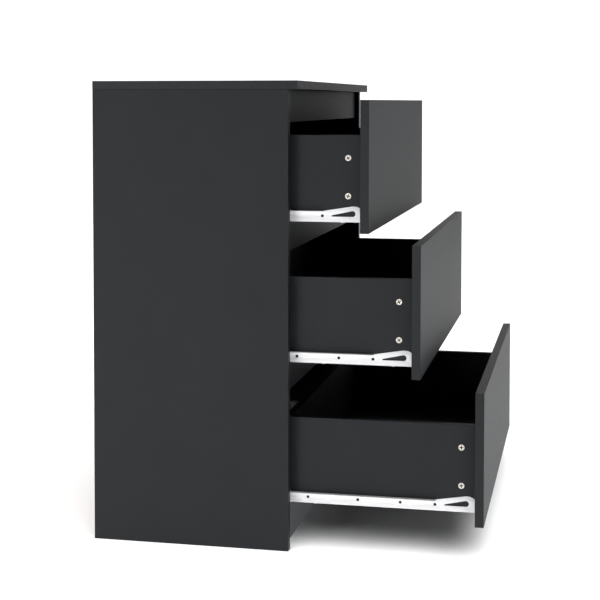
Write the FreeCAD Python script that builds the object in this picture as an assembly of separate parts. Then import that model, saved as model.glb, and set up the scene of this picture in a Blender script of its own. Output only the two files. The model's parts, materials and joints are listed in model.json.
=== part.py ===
import FreeCAD, Part
import os

# Wide chest with three drawers on roller runners, each drawer pulled out by a different amount.
# X runs to the right, Y to the rear and Z up, all in millimetres. The pieces are made with x = 0
# in the middle, y = 0 at the front edge of the side panels and z = 0 on the floor. At the end
# each one is moved in Y, so that the origin lies on the floor under the middle of the whole.

# Chest
width = 800.0
height = 856.0
depth = 371.0                 # side panels, with the back panel in their rebates
board = 16.0                  # faced chipboard of panels, rails and drawer fronts
hdf = 3.0                     # back panel and drawer bottoms
edge_round = 0.6              # rounded arris of the edge banding
floor_gap = 66.0              # floor to the lowest drawer front
finger_gap = 19.0             # above every drawer front
closing_gap = 1.0             # a closed front to the side panels' front edges
rail_setback = 10.0
upper_rail_height = 60.0
middle_rail_height = 54.0
rail_runner_gap = 3.5         # a rail's top to the drawer runner above it
plinth_setback = 13.0
plinth_height = 80.0
rear_rail_height = 60.0
rear_rail_lift = 20.0         # floor to the rear rail and to the back panel
rebate_width = 8.0            # back panel seat on the side panels and the top panel
rebate_gap = 0.5
nail_pitch = 110.0

# Drawers, named from the top down, and how far each stands open. The lower one is at its stop.
drawer_names = ("upper", "middle", "lower")
upper_opening = 129.7
middle_opening = 222.9
box_board = 12.0
box_height = 156.3
space_behind_box = 19.0       # closed box to the back panel
runner_space = 12.5           # side panel to drawer side
runner_lift = 18.0            # a front's lower edge to the underside of its runners
bottom_lift = 10.0            # drawer side's lower edge to the drawer bottom
groove_depth = 6.0
groove_gap = 0.2              # above the drawer bottom
groove_end_gap = 0.5

# Roller runners: the chest's member is a channel, the drawer's member an angle with a flange
sheet = 1.2
member_height = 20.0
ear_height = 28.7
ear_length = 72.0
ear_flat = 5.0                # level top of the ear
ear_front_height = 20.5
ear_corner = 14.0             # front end of the member to the level top
foot_width = 11.0
member_hole_radius = 2.8
member_hole_height = 11.2
member_holes = (73.3, 136.0, 213.6, 305.8)
slot_wide_y = 17.8            # keyhole slot: centre of its round end
slot_narrow_y = 55.0
slot_wide_height = 15.2
slot_wide_radius = 5.3
slot_narrow_height = 11.3
slot_narrow_radius = 1.3
roller_width = 3.9
roller_side_gap = 0.3         # roller to the sheet that carries it
roller_play = 0.3             # roller to what it runs on
roller_rim = 0.5              # chamfer of a roller's tread
front_roller_y = 10.0
rear_roller_behind = 7.0      # drawer box's rear face to the rear roller's axis
rear_roller_stop = 10.2       # front roller's axis to the rear roller's at full opening
pin_radius = 2.0
pin_fit = 0.05
pin_head_radius = 3.5
pin_head = 0.4
pin_end_gap = 0.1
track_inset = 1.4             # the channel starts this far above the drawer member's underside
track_to_web = 0.5            # channel flanges to the drawer member
flange_gap = 0.8              # above the running flange
flange_side_gap = 0.6
stop_height = 9.4
runner_front_inset = 1.0
runner_rear_inset = 2.0       # channel to the back panel
runner_screw_first = 37.0
runner_screw_pitch = 128.0
runner_screw_count = 3

# Fasteners
dowel_radius = 4.0
dowel_half = 15.0
dowel_in_face = 12.0          # part of a dowel that sits in a board's face
dowel_end_gap = 0.5
fastener_gap = 0.05
cam_radius = 7.5
cam_depth = 12.5
cam_reach = 24.0              # board's end to the cam's axis
box_cam_radius = 5.7
box_cam_depth = 9.5
box_cam_reach = 26.3
box_cam_heights = (46.0, 115.0)
cam_gap = 0.1
cam_slot = 1.2
cam_slot_depth = 1.5
bolt_thread = 11.0
bolt_radius = 2.5
bolt_head_radius = 3.2
bolt_head = 2.4
screw_radius = 1.8
screw_length = 14.0
member_screw_length = 10.0
screw_head_radius = 3.5
screw_head = 1.7
back_screw_length = 32.0
back_screw_heights = (48.0, 118.0)
nail_radius = 0.8
nail_length = 14.0
nail_head_radius = 2.0
nail_head = 0.5
joint_inset = 28.0            # dowels from the side panel's front and rear edges
bolt_inset = 60.0             # cam bolts from the same edges
rail_fastener_offset = 12.0   # cam bolt and dowel from the middle of a rail's end

# Worked out from the sizes above
half_width = width / 2
inner_x = half_width - board
carcass_top = height - board
back_y = depth - hdf
drawer_count = len(drawer_names)
front_height = (carcass_top - floor_gap - drawer_count * finger_gap) / drawer_count
top_overhang = board + closing_gap
box_half = inner_x - runner_space
box_inner = box_half - box_board
box_length = back_y - space_behind_box + closing_gap
rear_roller_y = box_length + rear_roller_behind
full_opening = rear_roller_y - closing_gap - front_roller_y - rear_roller_stop
openings = {"upper": upper_opening, "middle": middle_opening, "lower": full_opening}
front_bottom = {
    name: floor_gap + (drawer_count - 1 - k) * (front_height + finger_gap)
    for k, name in enumerate(drawer_names)
}
track_low = track_inset + sheet
track_high = member_height + flange_gap
rear_roller_radius = (track_high - track_low) / 2 - roller_play
rear_roller_height = (track_high + track_low) / 2
front_roller_radius = (member_height - sheet - track_low) / 2 - roller_play
front_roller_height = (member_height - sheet + track_low) / 2
track_reach = runner_space - sheet - track_to_web
flange_end = rear_roller_y - rear_roller_radius - 2 * roller_play
shift_y = (closing_gap + board + full_opening - depth - nail_head) / 2

X = FreeCAD.Vector(1, 0, 0)
Y = FreeCAD.Vector(0, 1, 0)
Z = FreeCAD.Vector(0, 0, 1)


def at(x, y, z):
    return FreeCAD.Vector(x, y, z)


def block(x0, x1, y0, y1, z0, z1):
    """Box between two corners."""
    return Part.makeBox(x1 - x0, y1 - y0, z1 - z0, at(x0, y0, z0))


def rod(radius, start, end):
    """Round bar between two points."""
    return Part.makeCylinder(radius, (end - start).Length, start, end - start)


def mirrored(shape):
    """The same piece on the other side of the middle."""
    return shape.mirror(at(0, 0, 0), X)


def both_sides(shapes):
    return shapes + [mirrored(shape) for shape in shapes]


def rounded(shape, thickness_axis):
    """Round the long edges of a board and leave the ones that run through its thickness."""
    edges = [e for e in shape.Edges if abs(e.tangentAt(e.FirstParameter).dot(thickness_axis)) < 0.5]
    return shape.makeFillet(edge_round, edges)


def save(name, shapes):
    """Write one node, moved so that the origin is under the middle of the whole."""
    moved = [shape.translated(at(0, shift_y, 0)) for shape in shapes]
    solids = [solid for shape in moved for solid in shape.Solids]
    piece = solids[0] if len(solids) == 1 else Part.makeCompound(solids)
    piece.exportStep(os.path.join("parts", name + ".step"))


# Fasteners. Each one comes with the bore that both of its boards are cut with.

def dowel(seat, into):
    """Wooden dowel across a joint: seat is on the joint, into points into the board's end."""
    start = seat - into * dowel_in_face
    end = start + into * (2 * dowel_half)
    spare = into * dowel_end_gap
    return rod(dowel_radius, start, end), rod(dowel_radius + fastener_gap, start - spare, end + spare)


def cam_bolt(seat, into, reach):
    """Bolt that is screwed into a board's face and reaches to a cam in the next board's end."""
    centre = seat + into * reach
    neck = centre - into * bolt_head
    thread = rod(bolt_radius, seat - into * bolt_thread, neck)
    bolt = thread.fuse(rod(bolt_head_radius, neck, centre)).removeSplitter()
    shank_bore = rod(bolt_head_radius + fastener_gap, seat, centre)
    thread_bore = rod(bolt_radius + fastener_gap, seat - into * (bolt_thread + dowel_end_gap), seat)
    return bolt, [thread_bore, shank_bore]


def cam(seat, into, face, reach, radius, length, cover):
    """Round cam, flush with the face that lies at cover from the bolt, and with a cross slot."""
    centre = seat + into * reach
    outer = centre + face * cover
    body = rod(radius, outer, outer - face * length)
    side = into.cross(face)
    room = rod(bolt_head_radius + cam_gap, centre - into * (radius + 1), centre + into * cam_gap)
    slots = []
    for along, across in ((into, side), (side, into)):
        corner = outer - along * (radius * 0.6) - across * (cam_slot / 2)
        profile = Part.makePolygon([
            corner,
            corner + along * (radius * 1.2),
            corner + along * (radius * 1.2) + across * cam_slot,
            corner + across * cam_slot,
            corner,
        ])
        slots.append(Part.Face(profile).extrude(face * -cam_slot_depth))
    bore = rod(radius + cam_gap, outer, outer - face * (length + cam_gap))
    return body.cut([room] + slots), bore


def screw(seat, into, length, sunk=False):
    """Screw whose head lies on the seat, or is countersunk into it."""
    shank = rod(screw_radius, seat, seat + into * length)
    bore = rod(screw_radius + fastener_gap, seat, seat + into * (length + dowel_end_gap))
    if sunk:
        head = Part.makeCone(screw_head_radius, screw_radius, screw_head, seat, into)
        room = Part.makeCone(
            screw_head_radius + fastener_gap, screw_radius + fastener_gap, screw_head, seat, into
        )
        return shank.fuse(head).removeSplitter(), bore.fuse(room)
    head = Part.makeCylinder(screw_head_radius, screw_head, seat - into * screw_head, into)
    rim = [e for e in head.Edges if e.Closed and (e.CenterOfMass - seat).Length > screw_head / 2]
    head = head.makeFillet(screw_head * 0.6, rim)
    return shank.fuse(head).removeSplitter(), bore


def nail(seat, into):
    """Small nail with a flat head on the back panel."""
    head = Part.makeCylinder(nail_head_radius, nail_head, seat - into * nail_head, into)
    bore = rod(nail_radius + fastener_gap, seat, seat + into * (nail_length + dowel_end_gap))
    return rod(nail_radius, seat, seat + into * nail_length).fuse(head), bore


# Carcass

def middle_rail_bottom(name):
    """The rail below a drawer hides behind the finger gap under that drawer's front."""
    return front_bottom[name] + runner_lift - rail_runner_gap - middle_rail_height


def rail_boxes():
    """Each rail's name, height range, front face and the side its cams open to."""
    rails = [("upper_front_rail", carcass_top - upper_rail_height, carcass_top, rail_setback, Y)]
    for number, name in enumerate(drawer_names[:-1], 1):
        low = middle_rail_bottom(name)
        rails.append((f"middle_front_rail_{number}", low, low + middle_rail_height, rail_setback, Y))
    rails.append(("plinth_board", 0, plinth_height, plinth_setback, Y))
    low = rear_rail_lift
    rails.append(("rear_rail", low, low + rear_rail_height, back_y - board, -Y))
    return rails


def carcass_fasteners():
    """Dowels, cam bolts and cams of the right half, and the bores for all of them."""
    dowels, bolts, cams, bores = [], [], [], []

    def join(bolt_seat, dowel_seat, into, face):
        pin, pin_bore = dowel(dowel_seat, into)
        bolt, bolt_bores = cam_bolt(bolt_seat, into, cam_reach)
        lock, lock_bore = cam(bolt_seat, into, face, cam_reach, cam_radius, cam_depth, board / 2)
        dowels.append(pin)
        bolts.append(bolt)
        cams.append(lock)
        bores.extend([pin_bore, lock_bore] + bolt_bores)

    middle = half_width - board / 2
    for bolt_y, dowel_y in ((bolt_inset, joint_inset), (depth - bolt_inset, depth - joint_inset)):
        join(at(middle, bolt_y, carcass_top), at(middle, dowel_y, carcass_top), -Z, -X)
    for _, low, high, front, face in rail_boxes():
        mid_y = front + board / 2
        mid_z = (low + high) / 2
        bolt_seat = at(inner_x, mid_y, mid_z - rail_fastener_offset)
        join(bolt_seat, at(inner_x, mid_y, mid_z + rail_fastener_offset), -X, face)
    return dowels, bolts, cams, bores


def nail_seats():
    """Nails along the edges of the back panel, in the side panels, the top panel and the rail."""
    low = rear_rail_lift + nail_pitch / 2
    high = carcass_top - nail_pitch / 2
    rows = max(2, round((high - low) / nail_pitch) + 1)
    edge_x = inner_x + rebate_width / 2
    seats = [at(edge_x, depth, low + (high - low) * k / (rows - 1)) for k in range(rows)]
    reach = inner_x - nail_pitch / 2
    columns = max(2, round(reach / nail_pitch) + 1)
    for k in range(columns):
        x = reach * (k + 0.5) / columns
        seats.append(at(x, depth, carcass_top + rebate_width / 2))
        seats.append(at(x, depth, rear_rail_lift + rear_rail_height / 3))
    return seats


def back_nails():
    """Nails of the right half and their bores."""
    made = [nail(seat, -Y) for seat in nail_seats()]
    return [piece for piece, _ in made], [bore for _, bore in made]


def channel_screw_seats():
    """Screws of the right-hand channels, on the web, for every drawer."""
    seats = []
    for name in drawer_names:
        z = front_bottom[name] + runner_lift + rear_roller_height
        for k in range(runner_screw_count):
            y = runner_screw_first + k * runner_screw_pitch
            if y < back_y - runner_rear_inset - screw_head_radius:
                seats.append(at(inner_x - sheet, y, z))
    return seats


def channel_screws():
    """Screws through the right-hand channels into the side panel, and their bores."""
    made = [screw(seat, X, screw_length) for seat in channel_screw_seats()]
    return [piece for piece, _ in made], [bore for _, bore in made]


def top_panel():
    panel = rounded(block(-half_width, half_width, -top_overhang, depth, carcass_top, height), Z)
    reach = inner_x + rebate_width
    return panel.cut(block(-reach, reach, back_y, depth, carcass_top, carcass_top + rebate_width))


def side_panel():
    """Right side panel with the rebate for the back panel."""
    panel = rounded(block(inner_x, half_width, 0, depth, 0, carcass_top), X)
    return panel.cut(block(inner_x, inner_x + rebate_width, back_y, depth, 0, carcass_top))


def back_panel():
    reach = inner_x + rebate_width - rebate_gap
    return block(-reach, reach, back_y, depth, rear_rail_lift, carcass_top + rebate_width - rebate_gap)


def rail(low, high, front):
    return rounded(block(-inner_x, inner_x, front, front + board, low, high), Y)


def channel(name):
    """Right-hand chest member of one drawer's runners, with the front roller's pin and the stop."""
    z = front_bottom[name] + runner_lift
    front, rear = runner_front_inset, back_y - runner_rear_inset
    low, high = z + track_low, z + track_high
    web = block(inner_x - sheet, inner_x, front, rear, low - sheet, high + sheet)
    foot = block(inner_x - track_reach, inner_x, front, rear, low - sheet, low)
    head = block(inner_x - track_reach, inner_x, front, rear, high, high + sheet)
    stop_y = front_roller_y + rear_roller_stop - rear_roller_radius - roller_play
    stop_x = inner_x - track_reach
    stop = block(stop_x, stop_x + roller_width - track_to_web, stop_y - sheet, stop_y, low, low + stop_height)
    pin = roller_pin(at(inner_x - sheet, front_roller_y, z + front_roller_height), -X)
    member = web.fuse([foot, head, stop, pin]).removeSplitter()
    return member.cut([screw_hole(seat, X) for seat in channel_screw_seats()])


def screw_hole(seat, into):
    """Hole for a screw's shank through the sheet that the seat lies on."""
    return rod(screw_radius + fastener_gap, seat - into, seat + into * (sheet + 1))


def roller_pin(foot, out):
    """Riveted pin that carries a roller, with a flat head."""
    neck = foot + out * (roller_side_gap + roller_width + pin_end_gap)
    return rod(pin_radius, foot, neck).fuse(rod(pin_head_radius, neck, neck + out * pin_head))


def roller(foot, out, radius):
    """Roller on a pin, with both edges of its tread chamfered."""
    start = foot + out * roller_side_gap
    wheel = rod(radius, start, start + out * roller_width)
    rims = [e for e in wheel.Edges if e.Closed]
    wheel = wheel.makeChamfer(roller_rim, rims)
    return wheel.cut(rod(pin_radius + pin_fit, start - out, start + out * (roller_width + 1)))


def front_rollers(name):
    z = front_bottom[name] + runner_lift + front_roller_height
    return both_sides([roller(at(inner_x - sheet, front_roller_y, z), -X, front_roller_radius)])


def make_carcass():
    dowels, bolts, cams, bores = carcass_fasteners()
    nails, nail_bores = back_nails()
    screws, screw_bores = channel_screws()
    bores = both_sides(bores + nail_bores + screw_bores)
    save("top_panel", [top_panel().cut(bores)])
    side = side_panel().cut(bores)
    save("side_panel_right", [side])
    save("side_panel_left", [mirrored(side)])
    save("back_panel", [back_panel().cut(bores)])
    for name, low, high, front, _ in rail_boxes():
        save(name, [rail(low, high, front).cut(bores)])
    for name in drawer_names:
        member = channel(name)
        save(f"{name}_channel_right", [member])
        save(f"{name}_channel_left", [mirrored(member)])
        save(f"{name}_front_rollers", front_rollers(name))
    save("carcass_dowels", both_sides(dowels))
    save("carcass_cam_bolts", both_sides(bolts))
    save("carcass_cams", both_sides(cams))
    save("channel_screws", both_sides(screws))
    save("back_panel_nails", both_sides(nails))


# Drawers. Each function takes the height of the front's lower edge and the y of its rear face.

def box_fasteners(low, rear):
    """Cam bolts and cams of the right drawer side, and their bores."""
    bolts, cams, bores = [], [], []
    middle = box_half - box_board / 2
    for cam_height in box_cam_heights:
        seat = at(middle, rear, low + runner_lift + sheet + cam_height)
        bolt, bolt_bores = cam_bolt(seat, Y, box_cam_reach)
        lock, bore = cam(seat, Y, X, box_cam_reach, box_cam_radius, box_cam_depth, box_board / 2)
        bolts.append(bolt)
        cams.append(lock)
        bores.extend(bolt_bores + [bore])
    return bolts, cams, bores


def box_screws(low, rear):
    """Countersunk screws through the right drawer side into the drawer back, and their bores."""
    y = rear + box_length - box_board / 2
    seats = [at(box_half, y, low + runner_lift + sheet + height) for height in back_screw_heights]
    made = [screw(seat, -X, back_screw_length, sunk=True) for seat in seats]
    return [piece for piece, _ in made], [bore for _, bore in made]


def member_screws(low, rear):
    """Screws through the right drawer member's foot into the drawer side, and their bores."""
    x = box_half - box_board / 2
    ys = [runner_screw_first + k * runner_screw_pitch for k in range(runner_screw_count)]
    seats = [at(x, rear + y, low + runner_lift) for y in ys if y < box_length - box_board]
    made = [screw(seat, Z, member_screw_length) for seat in seats]
    return [piece for piece, _ in made], [bore for _, bore in made]


def drawer_front(low, rear):
    panel = rounded(block(-half_width, half_width, rear - board, rear, low, low + front_height), Y)
    groove_z = low + runner_lift + sheet + bottom_lift
    reach = box_inner + groove_depth
    return panel.cut(block(-reach, reach, rear - groove_depth, rear, groove_z, groove_z + hdf + groove_gap))


def drawer_side(low, rear):
    """Right drawer side with the groove for the drawer bottom."""
    z = low + runner_lift + sheet
    panel = block(box_inner, box_half, rear, rear + box_length, z, z + box_height)
    top_edges = [e for e in panel.Edges if e.BoundBox.ZMin > z + 1 and e.BoundBox.YLength > 1]
    panel = panel.makeFillet(edge_round, top_edges)
    groove = block(
        box_inner, box_inner + groove_depth, rear, rear + box_length,
        z + bottom_lift, z + bottom_lift + hdf + groove_gap,
    )
    return panel.cut(groove)


def drawer_back(low, rear):
    """Drawer back, which stands on the drawer bottom between the sides."""
    z = low + runner_lift + sheet
    y = rear + box_length
    return block(-box_inner, box_inner, y - box_board, y, z + bottom_lift + hdf, z + box_height)


def drawer_bottom(low, rear):
    z = low + runner_lift + sheet + bottom_lift
    reach = box_inner + groove_depth - groove_end_gap
    front = rear - groove_depth + groove_end_gap
    return block(-reach, reach, front, rear + box_length, z, z + hdf)


def ear_plate(z, rear):
    """The member's web at its front end, which rises to an ear with a rounded front corner."""
    corner = at(box_half, rear, z + ear_front_height)
    top_front = at(box_half, rear + ear_corner, z + ear_height)
    top_rear = top_front + Y * ear_flat
    drop = ear_height - ear_front_height
    radius = (ear_corner ** 2 + drop ** 2) / (2 * drop)
    centre = top_front - Z * radius
    chord_middle = (corner + top_front) / 2
    bulge = centre + (chord_middle - centre).normalize() * radius
    edges = [
        Part.Arc(corner, bulge, top_front).toShape(),
        Part.LineSegment(top_front, top_rear).toShape(),
        Part.makePolygon([top_rear, at(box_half, rear + ear_length, z + member_height)]),
        Part.makePolygon([
            at(box_half, rear + ear_length, z + member_height), at(box_half, rear + ear_length, z),
            at(box_half, rear, z), corner,
        ]),
    ]
    return Part.Face(Part.Wire(edges)).extrude(X * sheet)


def keyhole_slot(z, rear):
    """Slot that widens from a narrow rear end to a round front end, with a level lower edge."""
    wide = at(box_half - 1, rear + slot_wide_y, z + slot_wide_height)
    narrow = at(box_half - 1, rear + slot_narrow_y, z + slot_narrow_height)
    floor = narrow.z - slot_narrow_radius
    web = Part.makePolygon([
        at(wide.x, wide.y, floor),
        at(wide.x, narrow.y, floor),
        narrow + Z * slot_narrow_radius,
        wide + Z * slot_wide_radius,
        at(wide.x, wide.y, floor),
    ])
    through = X * (sheet + 2)
    ends = [rod(slot_wide_radius, wide, wide + through), rod(slot_narrow_radius, narrow, narrow + through)]
    return Part.Face(web).extrude(through).fuse(ends)


def drawer_member(low, rear):
    """Right-hand drawer member: web, foot under the drawer side, running flange, ear and pin."""
    z = low + runner_lift
    x = box_half
    tail = rear + rear_roller_y + pin_head_radius
    web = block(x, x + sheet, rear, tail, z, z + member_height)
    foot = block(x - foot_width, x + sheet, rear, rear + box_length, z, z + sheet)
    top = z + member_height
    flange = block(
        x, inner_x - sheet - flange_side_gap, rear + runner_front_inset, rear + flange_end, top - sheet, top
    )
    pin = roller_pin(at(x + sheet, rear + rear_roller_y, z + rear_roller_height), X)
    holes = [
        rod(member_hole_radius, at(x - 1, rear + y, z + member_hole_height),
            at(x + sheet + 1, rear + y, z + member_hole_height))
        for y in member_holes if y < box_length
    ]
    body = web.fuse([foot, flange, ear_plate(z, rear), pin]).removeSplitter()
    return body.cut(holes + [keyhole_slot(z, rear)])


def rear_rollers(low, rear):
    foot = at(box_half + sheet, rear + rear_roller_y, low + runner_lift + rear_roller_height)
    return both_sides([roller(foot, X, rear_roller_radius)])


def make_drawer(name):
    low = front_bottom[name]
    rear = -closing_gap - openings[name]
    bolts, cams, bores = box_fasteners(low, rear)
    back_screws, back_bores = box_screws(low, rear)
    runner_screws, runner_bores = member_screws(low, rear)
    bores = both_sides(bores + back_bores + runner_bores)
    prefix = f"{name}_drawer"
    save(f"{prefix}_front", [drawer_front(low, rear).cut(bores)])
    side = drawer_side(low, rear).cut(bores)
    save(f"{prefix}_side_right", [side])
    save(f"{prefix}_side_left", [mirrored(side)])
    save(f"{prefix}_back", [drawer_back(low, rear).cut(bores)])
    save(f"{prefix}_bottom", [drawer_bottom(low, rear)])
    member = drawer_member(low, rear).cut(bores)
    save(f"{prefix}_runner_right", [member])
    save(f"{prefix}_runner_left", [mirrored(member)])
    save(f"{prefix}_rear_rollers", rear_rollers(low, rear))
    save(f"{prefix}_cams", both_sides(cams))
    save(f"{prefix}_cam_bolts", both_sides(bolts))
    save(f"{prefix}_runner_screws", both_sides(runner_screws))
    save(f"{prefix}_back_screws", both_sides(back_screws))


os.makedirs("parts", exist_ok=True)
make_carcass()
for drawer_name in drawer_names:
    make_drawer(drawer_name)
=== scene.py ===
import json
import math
import bpy
import bmesh
from mathutils import Matrix, Vector

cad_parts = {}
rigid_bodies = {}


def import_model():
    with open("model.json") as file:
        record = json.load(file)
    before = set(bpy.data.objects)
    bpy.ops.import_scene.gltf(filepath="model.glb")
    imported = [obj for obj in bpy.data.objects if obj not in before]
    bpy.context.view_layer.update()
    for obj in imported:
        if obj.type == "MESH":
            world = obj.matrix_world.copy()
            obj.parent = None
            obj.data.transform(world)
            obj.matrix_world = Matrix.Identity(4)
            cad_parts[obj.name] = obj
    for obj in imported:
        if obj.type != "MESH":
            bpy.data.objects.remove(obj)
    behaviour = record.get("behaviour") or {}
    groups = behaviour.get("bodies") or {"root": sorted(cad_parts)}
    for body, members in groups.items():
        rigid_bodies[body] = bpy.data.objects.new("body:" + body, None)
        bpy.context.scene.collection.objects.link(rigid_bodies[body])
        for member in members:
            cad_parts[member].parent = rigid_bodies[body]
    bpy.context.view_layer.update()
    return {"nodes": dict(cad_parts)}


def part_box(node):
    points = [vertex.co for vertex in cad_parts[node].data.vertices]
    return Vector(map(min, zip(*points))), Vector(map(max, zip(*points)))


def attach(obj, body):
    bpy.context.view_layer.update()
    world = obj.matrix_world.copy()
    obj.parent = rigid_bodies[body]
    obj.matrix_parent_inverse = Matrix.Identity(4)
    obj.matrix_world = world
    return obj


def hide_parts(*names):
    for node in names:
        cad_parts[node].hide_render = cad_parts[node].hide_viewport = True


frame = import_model()


# Carcass boards. The top, the sides, the rails and the plinth are 16 mm chipboard, pressed between
# anthracite melamine papers and sawn to size. ABS banding is glued round the sawn edges, and the
# rebates, grooves and bores that are cut afterwards show the bare chipboard.

nodes = frame["nodes"]
mm = 0.001
weld = 1e-6               # corners of a shape nearer than this are one corner
across, along, up = 0, 1, 2


def linear(code):
    """Scene colour from an sRGB hex value."""
    def channel(value):
        return value / 12.92 if value <= 0.04045 else ((value + 0.055) / 1.055) ** 2.4
    return tuple(channel(int(code[i:i + 2], 16) / 255) for i in (1, 3, 5)) + (1,)


def add(tree, kind, settings=None, **inputs):
    """Add a node with its settings. Inputs go by name, _ for a space, or by number as i0, i1."""
    node = tree.nodes.new(kind)
    for key, value in (settings or {}).items():
        setattr(node, key, value)
    for name, value in inputs.items():
        by_number = name[0] == "i" and name[1:].isdigit()
        socket = node.inputs[int(name[1:]) if by_number else name.replace("_", " ")]
        if isinstance(value, bpy.types.NodeSocket):
            tree.links.new(value, socket)
        else:
            socket.default_value = value
    return node


def new_material(name):
    """Empty material and the object coordinates, in metres, that its patterns are laid out on."""
    material = bpy.data.materials.new(name)
    material.use_nodes = True
    tree = material.node_tree
    tree.nodes.clear()
    return material, tree, add(tree, "ShaderNodeTexCoord").outputs["Object"]


def grain(tree, place, size, detail=2.0, **more):
    """Cloudy pattern whose patches are about the given size across."""
    return add(tree, "ShaderNodeTexNoise", Vector=place, Scale=1 / size, Detail=detail, **more)


def finish(tree, colour, low_rough, high_rough, sheen, relief, depth, **shader):
    """Surface whose roughness and relief both follow patterns between the given limits."""
    rough = add(tree, "ShaderNodeMapRange", Value=sheen, From_Min=0.3, From_Max=0.7,
                To_Min=low_rough, To_Max=high_rough)
    bump = add(tree, "ShaderNodeBump", Strength=0.6, Distance=depth, Height=relief)
    surface = add(tree, "ShaderNodeBsdfPrincipled", Base_Color=colour, Roughness=rough.outputs[0],
                  Normal=bump.outputs[0], **shader)
    add(tree, "ShaderNodeOutputMaterial", Surface=surface.outputs[0])


def two_tone(tree, share, first, second):
    """Colour that goes from the first hex value to the second as share goes from 0 to 1."""
    mixed = add(tree, "ShaderNodeMix", {"data_type": "RGBA"}, i0=share, i6=linear(first),
                i7=linear(second))
    return mixed.outputs[2]


# Melamine facing: printed paper in hard resin, pressed against a finely pearled plate. It looks
# even and matt, with a soft sheen at a low angle. Real pearls are 0.5 mm, drawn here at 1.5 mm.
facing, tree, place = new_material("pearled_melamine_facing")
pearls = grain(tree, place, 1.5 * mm, detail=3.0).outputs[0]
print_clouds = grain(tree, place, 70 * mm).outputs[0]
finish(tree, two_tone(tree, print_clouds, "#25272A", "#292B2E"), 0.49, 0.59, pearls, pearls, 0.03 * mm,
       Specular_IOR_Level=0.14)

# ABS banding: extruded plastic strip in the facing's colour, scraped flush. It looks a little
# smoother and glossier than the facing. The scraper's ripples are about 4 mm long.
banding, tree, place = new_material("scraped_abs_banding")
ripples = grain(tree, place, 4 * mm).outputs[0]
finish(tree, two_tone(tree, ripples, "#25272A", "#2A2C2F"), 0.41, 0.51, ripples, ripples, 0.02 * mm,
       Specular_IOR_Level=0.14)

# Chipboard core: glued wood chips, coarse in the middle of the board. It looks like pale and
# brown flakes, quite dull. The chips are 2 to 4 mm across.
core, tree, place = new_material("bare_chipboard_core")
chips = add(tree, "ShaderNodeTexVoronoi", Vector=place, Scale=1 / (3 * mm))
flakes = add(tree, "ShaderNodeSeparateColor", Color=chips.outputs["Color"]).outputs[0]
finish(tree, two_tone(tree, flakes, "#7D6243", "#B79A70"), 0.80, 0.92, flakes, flakes, 0.15 * mm)

edge_reach = 0.7 * mm     # the banding's rounded edge comes this far onto the facing
square = 0.999            # a face whose normal leans less than this is part of a rounded edge


def board(name, body, thick, raw_underside=False):
    """Board from its CAD shape: faced on both wide sides, banded round the edges, raw where cut."""
    low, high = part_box(name)
    shape = bmesh.new()
    shape.from_mesh(nodes[name].data)
    bmesh.ops.remove_doubles(shape, verts=shape.verts, dist=weld)
    shape.normal_update()
    layers = (facing, banding, core)
    for face in shape.faces:
        middle = face.calc_center_median()
        to_side = min(middle[thick] - low[thick], high[thick] - middle[thick])
        to_edge = min(min(middle[k] - low[k], high[k] - middle[k]) for k in range(3) if k != thick)
        left_raw = raw_underside and face.normal.z < -0.9
        if abs(face.normal[thick]) > square and to_side < edge_reach:
            layer = facing
        elif to_edge < edge_reach and not left_raw:
            layer = banding
        else:
            layer = core
        face.material_index = layers.index(layer)
        face.smooth = max(abs(value) for value in face.normal) <= square
    return piece_of(f"faced_{name}", shape, layers, body, "anthracite_board", name)


def piece_of(name, shape, finishes, body, slot, *stands_for):
    """Link a finished shape with its materials, on the body it rides on, and hide the CAD nodes it
    stands for.
    """
    mesh = bpy.data.meshes.new(name)
    shape.to_mesh(mesh)
    shape.free()
    return link_piece(name, mesh, finishes, body, slot, *stands_for)


def link_piece(name, mesh, finishes, body, slot, *stands_for):
    """Link a finished mesh in the same way."""
    for material in finishes:
        mesh.materials.append(material)
    piece = bpy.data.objects.new(name, mesh)
    bpy.context.scene.collection.objects.link(piece)
    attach(piece, body)
    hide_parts(*stands_for)
    return piece


board("top_panel", "carcass", up)
for side in ("left", "right"):
    board(f"side_panel_{side}", "carcass", across, raw_underside=True)
for name in ("upper_front_rail", "middle_front_rail_1", "middle_front_rail_2", "rear_rail"):
    board(name, "carcass", along)
board("plinth_board", "carcass", along, raw_underside=True)


# Drawer boxes and fronts. The sides and the back are 12 mm board of the same make, and the 16 mm
# front is held against the sides by cams. The sides and the front are grooved for the bottom.

drawers = ("upper", "middle", "lower")
for drawer in drawers:
    body = f"{drawer}_drawer"
    board(f"{body}_front", body, along)
    board(f"{body}_back", body, along)
    for side in ("left", "right"):
        board(f"{body}_side_{side}", body, across)


# Hardboard. The chest's back is nailed into rebates, and the drawer bottoms slide into grooves.
# Both are 3 mm board of pressed wood fibre. The back is lacquered inside and the bottoms all over.

# High-density fibreboard: wood fibre hot-pressed between plates. It looks brown and leathery with
# darker bundles of fibre 4 mm long. The lacquered side is anthracite with the plate's smooth skin.
hardboard, tree, place = new_material("lacquered_hardboard")
fibres = grain(tree, place, 4 * mm, detail=6.0, Distortion=1.5).outputs[0]
normal = add(tree, "ShaderNodeNewGeometry").outputs["Normal"]
facing_way = add(tree, "ShaderNodeSeparateXYZ", Vector=normal)
forwards = add(tree, "ShaderNodeMath", {"operation": "MULTIPLY"}, i0=facing_way.outputs[1], i1=-1.0)
upright = add(tree, "ShaderNodeMath", {"operation": "ABSOLUTE"}, i0=facing_way.outputs[2])
inside = add(tree, "ShaderNodeMath", {"operation": "MAXIMUM"}, i0=forwards.outputs[0],
             i1=upright.outputs[0])
lacquered = add(tree, "ShaderNodeMath", {"operation": "GREATER_THAN"}, i0=inside.outputs[0], i1=0.5)
brown = two_tone(tree, fibres, "#5E4029", "#8A6342")
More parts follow.
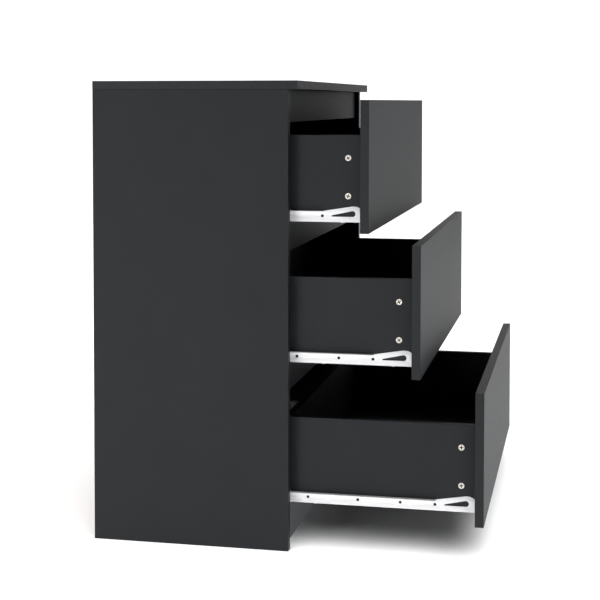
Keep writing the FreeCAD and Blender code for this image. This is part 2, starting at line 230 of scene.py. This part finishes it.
skin = add(tree, "ShaderNodeMix", {"data_type": "RGBA"}, i0=lacquered.outputs[0], i6=brown,
           i7=linear("#222427"))
finish(tree, skin.outputs[2], 0.55, 0.75, fibres, fibres, 0.05 * mm)


def refinish(name, material):
    """A CAD node whose shape is right keeps it, and gets its real material."""
    nodes[name].data.materials.clear()
    nodes[name].data.materials.append(material)


refinish("back_panel", hardboard)
for drawer in drawers:
    refinish(f"{drawer}_drawer_bottom", hardboard)


# Dowels and cam bolts. Fluted beech dowels and plated bolts sit inside the joints, and the bolts'
# heads are what the cams pull on. Nothing of them shows once the chest is together.

# Beech: straight-grained hardwood, turned. It looks pale pinkish brown with fine short flecks.
# The flecks are about 1 mm long across the rod.
beech, tree, place = new_material("turned_beech")
stretched = add(tree, "ShaderNodeMapping", Vector=place, Scale=(0.15, 1.0, 1.0)).outputs[0]
flecks = grain(tree, stretched, 0.8 * mm, detail=4.0).outputs[0]
finish(tree, two_tone(tree, flecks, "#B98A5C", "#D9B384"), 0.60, 0.75, flecks, flecks, 0.05 * mm)

# Zinc-plated steel: cold-headed wire with a thin bright passivated plating. It looks like grey
# metal with soft patches where the passivation is thicker, 3 mm apart.
plated, tree, place = new_material("zinc_plated_steel")
patches = grain(tree, place, 3 * mm).outputs[0]
finish(tree, two_tone(tree, patches, "#B9BCBE", "#D3D4D2"), 0.28, 0.42, patches, patches, 0.01 * mm,
       Metallic=1.0)

refinish("carcass_dowels", beech)
refinish("carcass_cam_bolts", plated)
for drawer in drawers:
    refinish(f"{drawer}_drawer_cam_bolts", plated)


# Cams, screws and nails. Cams are die-cast zinc discs that turn a quarter on a bolt's head, screws
# are cold-headed steel with a cross recess, and the back is held by small flat-headed nails. One
# rule makes them all: a head, with or without a recess, on a shank, set out on its seats.

# Die-cast zinc: cast in a steel mould, tumbled and left bare. It looks like warm pale metal,
# fairly rough. The casting's grain is 0.3 mm, drawn here at 0.9 mm.
cast_zinc, tree, place = new_material("die_cast_zinc")
casting = grain(tree, place, 0.9 * mm).outputs[0]
finish(tree, two_tone(tree, casting, "#D8D3CA", "#EAE6DE"), 0.42, 0.58, casting, casting, 0.02 * mm,
       Metallic=0.75)

# Recess: the walls that the driver bears on. Their dark brown against the head is painted shade,
# standing in for the shadow down in the cross, mottled 1 mm apart.
recess, tree, place = new_material("burnished_recess")
shade_mottle = grain(tree, place, 1.0 * mm).outputs[0]
finish(tree, two_tone(tree, shade_mottle, "#2A2623", "#4A433C"), 0.45, 0.65, shade_mottle, shade_mottle, 0.02 * mm,
       Metallic=0.6)


def fastener_rule():
    """Tree that sets one fastener on every seat, its head flush with the seat and facing outward."""
    tree = bpy.data.node_groups.new("headed_fastener", "GeometryNodeTree")
    tree.is_modifier = True
    tree.interface.new_socket("Seats", in_out="INPUT", socket_type="NodeSocketGeometry")
    for size in ("Head radius", "Underhead radius", "Head height", "Head round", "Shank radius",
                 "Shank length", "Slot length", "Slot width", "Slot depth"):
        tree.interface.new_socket(size, in_out="INPUT", socket_type="NodeSocketFloat")
    for count in ("Sides", "Turn seed"):
        tree.interface.new_socket(count, in_out="INPUT", socket_type="NodeSocketInt")
    tree.interface.new_socket("Recessed", in_out="INPUT", socket_type="NodeSocketBool")
    for part in ("Metal", "Recess"):
        tree.interface.new_socket(part, in_out="INPUT", socket_type="NodeSocketMaterial")
    tree.interface.new_socket("Fasteners", in_out="OUTPUT", socket_type="NodeSocketGeometry")
    given = add(tree, "NodeGroupInput").outputs

    def reckon(first, second, operation="ADD"):
        """Arithmetic on two numbers or sockets."""
        return add(tree, "ShaderNodeMath", {"operation": operation}, i0=first, i1=second).outputs[0]

    def moved(geometry, height):
        """Geometry shifted along the fastener's axis."""
        offset = add(tree, "ShaderNodeCombineXYZ", Z=height).outputs[0]
        return add(tree, "GeometryNodeTransform", Geometry=geometry, Translation=offset).outputs[0]

    # Head: a cone or a disc whose top ring is drawn in to round the rim.
    cone = add(tree, "GeometryNodeMeshCone", Vertices=given["Sides"], Side_Segments=6, Fill_Segments=1,
               Radius_Top=given["Head radius"], Radius_Bottom=given["Underhead radius"],
               Depth=given["Head height"])
    spot = add(tree, "GeometryNodeInputPosition").outputs[0]
    height = add(tree, "ShaderNodeSeparateXYZ", Vector=spot).outputs[2]
    on_top = reckon(height, reckon(given["Head height"], 0.95, "MULTIPLY"), "GREATER_THAN")
    ratio = reckon(1.0, reckon(given["Head round"], given["Head radius"], "DIVIDE"), "SUBTRACT")
    scale = add(tree, "ShaderNodeCombineXYZ", X=ratio, Y=ratio, Z=1.0).outputs[0]
    drawn_in = add(tree, "ShaderNodeVectorMath", {"operation": "MULTIPLY"}, i0=spot,
                   i1=scale).outputs[0]
    head = add(tree, "GeometryNodeSetPosition", Geometry=cone.outputs["Mesh"], Selection=on_top,
               Position=drawn_in).outputs[0]
    head = moved(head, reckon(given["Head height"], -1.0, "MULTIPLY"))

    # Cross recess, cut out of the head. Its faces are those below the top, above the recess's
    # floor and near the axis, each with a little to spare.
    deep = reckon(given["Slot depth"], 2.0, "MULTIPLY")
    bars = []
    slot = given["Slot length"], given["Slot width"]
    for x, y in (slot, slot[::-1]):
        size = add(tree, "ShaderNodeCombineXYZ", X=x, Y=y, Z=deep).outputs[0]
        bars.append(add(tree, "GeometryNodeMeshCube", Size=size).outputs["Mesh"])
    cut = add(tree, "GeometryNodeMeshBoolean", {"operation": "DIFFERENCE", "solver": "EXACT"}, i0=head)
    for bar in bars:
        tree.links.new(bar, cut.inputs["Mesh 2"])
    top = add(tree, "ShaderNodeSeparateXYZ", Vector=add(tree, "GeometryNodeInputPosition").outputs[0])
    inner = add(tree, "ShaderNodeVectorMath", {"operation": "LENGTH"},
                i0=add(tree, "ShaderNodeCombineXYZ", X=top.outputs[0], Y=top.outputs[1]).outputs[0])
    below = reckon(top.outputs[2], -0.05 * mm, "LESS_THAN")
    above = reckon(top.outputs[2], reckon(given["Slot depth"], -1.02, "MULTIPLY"), "GREATER_THAN")
    within = reckon(inner.outputs[1], reckon(given["Slot length"], 0.55, "MULTIPLY"), "LESS_THAN")
    in_recess = reckon(reckon(below, above, "MULTIPLY"), within, "MULTIPLY")
    marked = add(tree, "GeometryNodeStoreNamedAttribute", {"data_type": "BOOLEAN", "domain": "FACE"},
                 Geometry=cut.outputs["Mesh"], Name="recess", Value=in_recess).outputs[0]
    head = add(tree, "GeometryNodeSwitch", {"input_type": "GEOMETRY"}, Switch=given["Recessed"],
               **{"False": head, "True": marked}).outputs[0]

    # Shank, below the head.
    shank = add(tree, "GeometryNodeMeshCylinder", Vertices=given["Sides"], Radius=given["Shank radius"],
                Depth=given["Shank length"]).outputs["Mesh"]
    drop = reckon(given["Head height"], reckon(given["Shank length"], 0.5, "MULTIPLY"))
    shank = moved(shank, reckon(drop, -1.0, "MULTIPLY"))
    whole = add(tree, "GeometryNodeJoinGeometry")
    for part in (shank, head):
        tree.links.new(part, whole.inputs[0])

    # One on every seat, each turned by its own amount.
    outward = add(tree, "GeometryNodeInputNamedAttribute", {"data_type": "FLOAT_VECTOR"}, Name="outward")
    faced = add(tree, "FunctionNodeAlignRotationToVector", {"axis": "Z"}, Vector=outward.outputs[0])
    placed = add(tree, "GeometryNodeInstanceOnPoints", Points=given["Seats"], Instance=whole.outputs[0],
                 Rotation=faced.outputs[0])
    turn = add(tree, "FunctionNodeRandomValue", {"data_type": "FLOAT"}, i2=0.0, i3=math.pi,
               Seed=given["Turn seed"]).outputs[1]
    spun = add(tree, "GeometryNodeRotateInstances", Instances=placed.outputs[0], Local_Space=True,
               Rotation=add(tree, "ShaderNodeCombineXYZ", Z=turn).outputs[0])
    real = add(tree, "GeometryNodeRealizeInstances", Geometry=spun.outputs[0]).outputs[0]
    metal = add(tree, "GeometryNodeSetMaterial", Geometry=real, Material=given["Metal"]).outputs[0]
    # The faces inside the cross get the dark Recess material: painted shade for the shadow there.
    flagged = add(tree, "GeometryNodeInputNamedAttribute", {"data_type": "BOOLEAN"}, Name="recess")
    done = add(tree, "GeometryNodeSetMaterial", Geometry=metal, Selection=flagged.outputs[0],
               Material=given["Recess"]).outputs[0]
    add(tree, "NodeGroupOutput", Fasteners=done)
    return tree


headed = fastener_rule()


def loose_parts(name):
    """Lowest and highest corner of each separate solid of a CAD node, in a fixed order."""
    shape = bmesh.new()
    shape.from_mesh(nodes[name].data)
    bmesh.ops.remove_doubles(shape, verts=shape.verts, dist=weld)
    unseen, found = set(shape.verts), []
    while unseen:
        waiting, part = [unseen.pop()], []
        while waiting:
            vertex = waiting.pop()
            part.append(vertex.co)
            for edge in vertex.link_edges:
                other = edge.other_vert(vertex)
                if other in unseen:
                    unseen.remove(other)
                    waiting.append(other)
        found.append(tuple(Vector(pick(axis) for axis in zip(*part)) for pick in (min, max)))
    shape.free()
    return sorted(found, key=lambda corners: [round(value, 4) for value in corners[0]])


def seat_on(corners, outward):
    """Middle of the end of a solid's box that looks outward."""
    low, high = corners
    middle, half = (low + high) / 2, (high - low) / 2
    return middle + Vector(a * b for a, b in zip(outward, half))


crease = math.radians(35)      # sharper edges than this stay crisp


def set_out(name, body, slot, seats, metal, **sizes):
    """Run the rule on the seats, and keep the result as one plain mesh on the body."""
    mesh = bpy.data.meshes.new(name + "_seats")
    mesh.from_pydata([tuple(seat) for seat, _ in seats], [], [])
    way = mesh.attributes.new("outward", "FLOAT_VECTOR", "POINT")
    way.data.foreach_set("vector", [value for _, outward in seats for value in outward])
    holder = bpy.data.objects.new(name + "_seats", mesh)
    bpy.context.scene.collection.objects.link(holder)
    rule = holder.modifiers.new("fasteners", "NODES")
    rule.node_group = headed
    inputs = {**sizes, "Metal": metal, "Recess": recess}
    for item in headed.interface.items_tree:
        key = item.name.replace(" ", "_")
        if item.in_out == "INPUT" and key in inputs:
            rule[item.identifier] = inputs[key]
    graph = bpy.context.evaluated_depsgraph_get()
    made = bpy.data.meshes.new_from_object(holder.evaluated_get(graph), preserve_all_data_layers=True,
                                           depsgraph=graph)
    holder.modifiers.remove(rule)
    bpy.data.objects.remove(holder)
    made.shade_smooth()
    made.set_sharp_from_angle(angle=crease)
    made.name = f"fitted_{name}"
    link_piece(made.name, made, (), body, slot, name)


def cam_sizes(diameter, length):
    """Plain disc with a cross recess, in proportion to its diameter."""
    return dict(Head_radius=diameter / 2, Underhead_radius=diameter / 2, Head_height=length,
                Head_round=0.5 * mm, Shank_radius=0.3 * diameter, Shank_length=0.2 * mm,
                Slot_length=0.62 * diameter, Slot_width=0.16 * diameter, Slot_depth=0.22 * diameter,
                Sides=40, Recessed=True)


def screw_sizes(head_height, underhead, length):
    """Cross-recessed screw: a pan head, or a countersunk one where underhead is the shank's radius."""
    return dict(Head_radius=3.5 * mm, Underhead_radius=underhead, Head_height=head_height,
                Head_round=0.5 * mm, Shank_radius=1.8 * mm, Shank_length=length,
                Slot_length=3.8 * mm, Slot_width=0.9 * mm, Slot_depth=1.1 * mm,
                Sides=24, Recessed=True)


def sideways(corners):
    """Unit vector in X away from the middle of the chest."""
    return Vector((math.copysign(1, corners[0].x + corners[1].x), 0, 0))


def seats_of(name, outward_of):
    """Seat and outward direction of each solid of a CAD node."""
    return [(seat_on(corners, outward_of(corners)), outward_of(corners))
            for corners in loose_parts(name)]


def inwards(corners):
    return -sideways(corners)


def back(corners):
    return Vector((0, 1, 0))


def down(corners):
    return Vector((0, 0, -1))


def hidden_side(corners):
    """Side panels and rails take their cams on the face that looks into the chest."""
    size = corners[1] - corners[0]
    if size.x < size.y:
        return inwards(corners)
    near_the_back = 50 * mm
    in_front = corners[0].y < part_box("back_panel")[0].y - near_the_back
    return Vector((0, 1 if in_front else -1, 0))


set_out("back_panel_nails", "carcass", "plated_steel", seats_of("back_panel_nails", back), plated,
        Head_radius=2.0 * mm, Underhead_radius=2.0 * mm, Head_height=0.5 * mm, Head_round=0.15 * mm,
        Shank_radius=0.7 * mm, Shank_length=14 * mm, Sides=12, Recessed=False)
set_out("carcass_cams", "carcass", "zinc", seats_of("carcass_cams", hidden_side), cast_zinc,
        Turn_seed=1, **cam_sizes(15 * mm, 12.5 * mm))
set_out("channel_screws", "carcass", "plated_steel", seats_of("channel_screws", inwards), plated,
        Turn_seed=2, **screw_sizes(1.7 * mm, 3.5 * mm, 14 * mm))
for number, drawer in enumerate(drawers):
    body = f"{drawer}_drawer"
    name = f"{body}_cams"
    set_out(name, body, "zinc", seats_of(name, sideways), cast_zinc,
            Turn_seed=3 + number, **cam_sizes(11.4 * mm, 9.5 * mm))
    name = f"{body}_back_screws"
    set_out(name, body, "plated_steel", seats_of(name, sideways), plated,
            Turn_seed=6 + number, **screw_sizes(1.7 * mm, 1.8 * mm, 23 * mm))
    name = f"{body}_runner_screws"
    set_out(name, body, "plated_steel", seats_of(name, down), plated,
            Turn_seed=9 + number, **screw_sizes(1.7 * mm, 3.5 * mm, 10 * mm))


# Chest runners. Each is a channel rolled from 1.2 mm steel, with a stop pressed out of its foot
# and a pin riveted in for the front roller. It is screwed to the side panel through its web.

# Epoxy powder coating on steel: sprayed, melted and baked. It looks bright white with a soft
# gloss and a faint orange peel. The peel is 1.5 mm across.
powder_coat, tree, place = new_material("white_epoxy_powder_coat")
peel = grain(tree, place, 1.5 * mm).outputs[0]
finish(tree, two_tone(tree, peel, "#E9E9EB", "#F1F1F2"), 0.32, 0.42, peel, peel, 0.01 * mm)

for drawer in drawers:
    for side in ("left", "right"):
        refinish(f"{drawer}_channel_{side}", powder_coat)


# Drawer runners. Each is folded from the same coated steel: a web up the drawer side with four
# holes, a keyhole slot and a raised ear, a foot under the drawer side, and a running flange.

sheet = 1.2 * mm
ear_start, ear_top, ear_flat, ear_front, ear_corner = 72 * mm, 28.7 * mm, 5 * mm, 20.5 * mm, 14 * mm
web_height = 20 * mm
hole_rows = (73.3 * mm, 136 * mm, 213.6 * mm, 305.8 * mm)
hole_height, hole_radius = 11.2 * mm, 2.8 * mm
slot_wide, slot_narrow = (17.8 * mm, 15.2 * mm, 5.3 * mm), (55 * mm, 11.3 * mm, 1.3 * mm)
foot_reach, flange_reach = 11 * mm, 10.7 * mm
burr = 0.15 * mm          # worn edge of the punched sheet
clear_of_roller = 0.6 * mm


def arc(centre, radius, start, end, steps):
    """Points on an arc between two angles in degrees."""
    angles = (math.radians(start + (end - start) * k / steps) for k in range(steps + 1))
    return [(centre[0] + radius * math.cos(a), centre[1] + radius * math.sin(a)) for a in angles]


def ear_outline():
    """Top of the web's front end: a slope up to the ear, its level top and its round corner."""
    drop = ear_top - ear_front
    radius = (ear_corner ** 2 + drop ** 2) / (2 * drop)
    lean = math.degrees(math.acos(ear_corner / radius))
    return [(ear_start, web_height), (ear_corner + ear_flat, ear_top)] + arc(
        (ear_corner, ear_top - radius), radius, 90, 180 - lean, 12)


def keyhole():
    """Slot with a round front end that narrows to a round rear end, straight between the two."""
    (wide_y, wide_z, wide_r), (narrow_y, narrow_z, narrow_r) = slot_wide, slot_narrow
    lean = math.degrees(math.atan2(narrow_z - wide_z, narrow_y - wide_y))
    length = math.hypot(narrow_y - wide_y, narrow_z - wide_z)
    touch = math.degrees(math.acos((wide_r - narrow_r) / length))
    return arc((wide_y, wide_z), wide_r, lean + touch, lean + 360 - touch, 20) + arc(
        (narrow_y, narrow_z), narrow_r, lean - touch, lean + touch, 8)


def punched_plate(outline, openings):
    """Flat sheet of the web's thickness with openings through it, from a filled curve."""
    curve = bpy.data.curves.new("web_outline", "CURVE")
    curve.dimensions, curve.fill_mode = "2D", "BOTH"
    curve.extrude, curve.bevel_depth, curve.offset = sheet / 2 - burr, burr, -burr
    curve.bevel_resolution = 1
    for points in [outline] + openings:
        spline = curve.splines.new("POLY")
        spline.points.add(len(points) - 1)
        for point, (y, z) in zip(spline.points, points):
            point.co = (y, z, 0, 1)
        spline.use_cyclic_u = True
    holder = bpy.data.objects.new("web_outline", curve)
    plate = bpy.data.meshes.new_from_object(holder)
    bpy.data.objects.remove(holder)
    return plate


def fold(shape, profile, front, rear):
    """Bent strip with a closed cross-section of (x, z) points, run from front to rear."""
    ends = [[shape.verts.new((x, y, z)) for x, z in profile] for y in (front, rear)]
    count = len(profile)
    for k in range(count):
        after = (k + 1) % count
        shape.faces.new((ends[0][k], ends[0][after], ends[1][after], ends[1][k]))
    shape.faces.new(ends[0][::-1])
    shape.faces.new(ends[1])


def rivet(shape, foot, out, profile, steps=28):
    """Turned pin on a foot, from (along, radius) points that begin and end on its axis."""
    side = Vector((0, 0, 1))
    other = out.cross(side)
    rings = []
    for along_pin, radius in profile:
        middle = foot + out * along_pin
        if radius == 0:
            rings.append([shape.verts.new(middle)])
        else:
            turns = (2 * math.pi * k / steps for k in range(steps))
            rings.append([shape.verts.new(middle + (side * math.cos(a) + other * math.sin(a)) * radius)
                          for a in turns])
    for first, second in zip(rings, rings[1:]):
        for k in range(steps):
            after = (k + 1) % steps
            corners = [first[k % len(first)], first[after % len(first)],
                       second[after % len(second)], second[k % len(second)]]
            shape.faces.new(list(dict.fromkeys(corners)))


def drawer_runner(drawer):
    """Right-hand runner of a drawer, in place."""
    name = f"{drawer}_drawer_runner_right"
    low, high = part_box(name)
    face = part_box(f"{drawer}_drawer_side_right")[1].x      # outer face of the drawer side
    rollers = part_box(f"{drawer}_drawer_rear_rollers")
    box_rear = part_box(f"{drawer}_drawer_side_right")[1].y
    tail, flange_rear = high.y - low.y, rollers[0].y - clear_of_roller
    outline = [(0, sheet), (tail, sheet), (tail, web_height - sheet), (ear_start, web_height - sheet)]
    outline += ear_outline()
    openings = [arc((y, hole_height), hole_radius, 0, 345, 23)
                for y in hole_rows if y < box_rear - low.y]
    plate = punched_plate(outline, openings + [keyhole()])
    plate.transform(Matrix(((0, 0, 1, face + sheet / 2), (1, 0, 0, low.y), (0, 1, 0, low.z),
                            (0, 0, 0, 1))))
    shape = bmesh.new()
    shape.from_mesh(plate)
    bpy.data.meshes.remove(plate)
    z = low.z
    foot = [(face, z + sheet), (face - foot_reach, z + sheet), (face - foot_reach, z)]
    foot += [(face + x, z + y) for x, y in arc((0, sheet), sheet, -90, 0, 6)]
    fold(shape, foot, low.y, box_rear)
    top = z + web_height
    flange = [(face + x, top - sheet + y) for x, y in arc((sheet, 0), sheet, 180, 90, 6)]
    flange += [(face + flange_reach, top), (face + flange_reach, top - sheet),
               (face + sheet, top - sheet)]
    fold(shape, flange, low.y + ear_start, flange_rear)
    middle = (rollers[0] + rollers[1]) / 2
    sunk, pin_length, pin_radius, head_radius = 0.2 * mm, 4.3 * mm, 2.0 * mm, 3.4 * mm
    crown = sunk + pin_length
    rivet(shape, Vector((face + sheet - sunk, middle.y, middle.z)), Vector((1, 0, 0)), [
        (0, 0), (0, pin_radius), (crown, pin_radius), (crown, head_radius),
        (crown + 0.2 * mm, 3.1 * mm), (crown + 0.35 * mm, 1.6 * mm), (crown + 0.4 * mm, 0)])
    bmesh.ops.remove_doubles(shape, verts=shape.verts, dist=weld)
    bmesh.ops.recalc_face_normals(shape, faces=shape.faces)
    return shape


def soften(piece):
    """Smooth shading, with the sharp edges kept."""
    piece.data.shade_smooth()
    piece.data.set_sharp_from_angle(angle=crease)


for drawer in drawers:
    body = f"{drawer}_drawer"
    for side in ("right", "left"):
        shape = drawer_runner(drawer)
        if side == "left":
            bmesh.ops.scale(shape, vec=(-1, 1, 1), verts=shape.verts)
            bmesh.ops.recalc_face_normals(shape, faces=shape.faces)
        soften(piece_of(f"folded_{body}_runner_{side}", shape, (powder_coat,), body, "white_steel",
                        f"{body}_runner_{side}"))


# Rollers. Each is an acetal wheel that turns on a riveted pin, with a rounded tread, a sunk web
# on both sides and a hub. The front ones stay on the chest and the rear ones travel with a drawer.

# Acetal: injection-moulded, unpainted. It looks milky white with a soft gloss and faint flow
# marks 5 mm across.
acetal, tree, place = new_material("moulded_acetal")
flow = grain(tree, place, 5 * mm).outputs[0]
finish(tree, two_tone(tree, flow, "#E4E3DE", "#EFEEEA"), 0.30, 0.40, flow, flow, 0.01 * mm, IOR=1.48)


def wheel(shape, centre, radius, width):
    """Closed ring with a rounded tread and a sunk web between the rim and the hub."""
    half, bore, hub, rim = width / 2, 2.05 * mm, 3.4 * mm, radius - 1.6 * mm
    sink, draft, rounding, bulge = 0.5 * mm, 0.3 * mm, 0.5 * mm, 0.15 * mm
    side = [(half, bore), (half, hub), (half - sink, hub + draft), (half - sink, rim - draft),
            (half, rim), (half, radius - rounding), (half - bulge, radius - bulge),
            (half - rounding, radius)]
    profile = side + [(-x, r) for x, r in reversed(side)]
    steps = 36
    rings = [[shape.verts.new(centre + Vector((x, r * math.cos(2 * math.pi * k / steps),
                                               r * math.sin(2 * math.pi * k / steps))))
              for k in range(steps)] for x, r in profile]
    for first, second in zip(rings, rings[1:] + rings[:1]):
        for k in range(steps):
            after = (k + 1) % steps
            shape.faces.new((first[k], first[after], second[after], second[k]))


for drawer in drawers:
    for name, body in ((f"{drawer}_front_rollers", f"{drawer}_front_rollers"),
                       (f"{drawer}_drawer_rear_rollers", f"{drawer}_rear_rollers")):
        shape = bmesh.new()
        for low, high in loose_parts(name):
            wheel(shape, (low + high) / 2, (high.z - low.z) / 2, high.x - low.x)
        bmesh.ops.recalc_face_normals(shape, faces=shape.faces)
        soften(piece_of(f"moulded_{name}", shape, (acetal,), body, "roller_plastic", name))


# Studio. A white floor, one broad light that falls on the floor alone, two soft boxes low on the
# left, and a white surround on the right that the fronts pick up as a sheen.

def soft_box(name, place, aim, width, height, power):
    """Flat light at a place, turned towards its aim."""
    light = bpy.data.lights.new(name, "AREA")
    light.shape = "RECTANGLE"
    light.size, light.size_y, light.energy = width, height, power
    holder = bpy.data.objects.new(name, light)
    holder.location = place
    holder.rotation_euler = (Vector(aim) - Vector(place)).to_track_quat("-Z", "Y").to_euler()
    bpy.context.scene.collection.objects.link(holder)
    return holder


reach = 6.0
floor_mesh = bpy.data.meshes.new("floor")
floor_corners = [(-reach, -reach, 0), (reach, -reach, 0), (reach, reach, 0), (-reach, reach, 0)]
floor_mesh.from_pydata(floor_corners, [], [(0, 1, 2, 3)])
floor = bpy.data.objects.new("floor", floor_mesh)
bpy.context.scene.collection.objects.link(floor)
floor_paint, tree, place = new_material("white_studio_floor")
surface = add(tree, "ShaderNodeBsdfPrincipled", Base_Color=linear("#F4F4F4"), Roughness=0.9,
              Specular_IOR_Level=0.0)
add(tree, "ShaderNodeOutputMaterial", Surface=surface.outputs[0])
floor_mesh.materials.append(floor_paint)

overhead = bpy.data.lights.new("overhead light", "SUN")
overhead.energy = 5.2
overhead.angle = math.radians(75)
floor_light = bpy.data.objects.new("overhead light", overhead)
floor_light.rotation_euler = (math.radians(10), math.radians(-26), 0)
bpy.context.scene.collection.objects.link(floor_light)
lit = bpy.data.collections.new("lit by the overhead light")
lit.objects.link(floor)
floor_light.light_linking.receiver_collection = lit

# A flag keeps this light off everything but the runners, whose flanges it picks out from above.
above = bpy.data.lights.new("runner light", "SUN")
above.energy = 1.7
above.angle = math.radians(60)
runner_light = bpy.data.objects.new("runner light", above)
bpy.context.scene.collection.objects.link(runner_light)
picked_out = bpy.data.collections.new("picked out from above")
for drawer in drawers:
    for side in ("left", "right"):
        picked_out.objects.link(bpy.data.objects[f"folded_{drawer}_drawer_runner_{side}"])
runner_light.light_linking.receiver_collection = picked_out

# Another flagged light reaches under the lower drawer to the plinth.
plinth_light = soft_box("plinth light", (-2.4, -2.0, 0.05), (-0.3, 0, 0.05), 0.8, 0.1, 330)
plinth_light.data.color = (1.0, 0.95, 0.9)
under = bpy.data.collections.new("lit under the lower drawer")
under.objects.link(bpy.data.objects["faced_plinth_board"])
plinth_light.light_linking.receiver_collection = under

soft_box("rear left light", (-5.6, 2.6, 0.45), (0, 0, 0.4), 2.4, 1.0, 112)
soft_box("front left light", (-4.0, -2.4, 0.3), (0, -0.2, 0.2), 1.6, 0.5, 7)

world = bpy.data.worlds.new("white studio")
world.use_nodes = True
world.node_tree.nodes.clear()
tree = world.node_tree
way = add(tree, "ShaderNodeTexCoord")
axes = add(tree, "ShaderNodeSeparateXYZ", Vector=way.outputs["Generated"])
right = add(tree, "ShaderNodeMapRange", {"interpolation_type": "SMOOTHSTEP"}, Value=axes.outputs["X"],
            From_Min=0.0, From_Max=0.6, To_Min=0.03, To_Max=0.68)
seen = add(tree, "ShaderNodeBackground", Color=(1, 1, 1, 1), Strength=1.2)
ambient = add(tree, "ShaderNodeBackground", Color=(1, 1, 1, 1), Strength=right.outputs[0])
path = add(tree, "ShaderNodeLightPath")
mix = add(tree, "ShaderNodeMixShader", i0=path.outputs["Is Camera Ray"], i1=ambient.outputs[0],
          i2=seen.outputs[0])
add(tree, "ShaderNodeOutputWorld", Surface=mix.outputs[0])
bpy.context.scene.world = world
bpy.context.scene.view_settings.view_transform = "Standard"

camera_data = bpy.data.cameras.new("camera")
camera_data.sensor_width = 36.0
camera_data.lens = 84.14
camera_data.shift_x = 0.0167
camera_data.shift_y = -0.2372
camera_data.clip_end = 50
camera = bpy.data.objects.new("camera", camera_data)
camera.location = (-2.863, -0.54215, 0.8178)
yaw, pitch = math.radians(12.133), math.radians(2.288)
ahead = Vector((math.cos(yaw) * math.cos(pitch), math.sin(yaw) * math.cos(pitch), -math.sin(pitch)))
camera.rotation_euler = ahead.to_track_quat("-Z", "Y").to_euler()
bpy.context.scene.collection.objects.link(camera)
bpy.context.scene.camera = camera
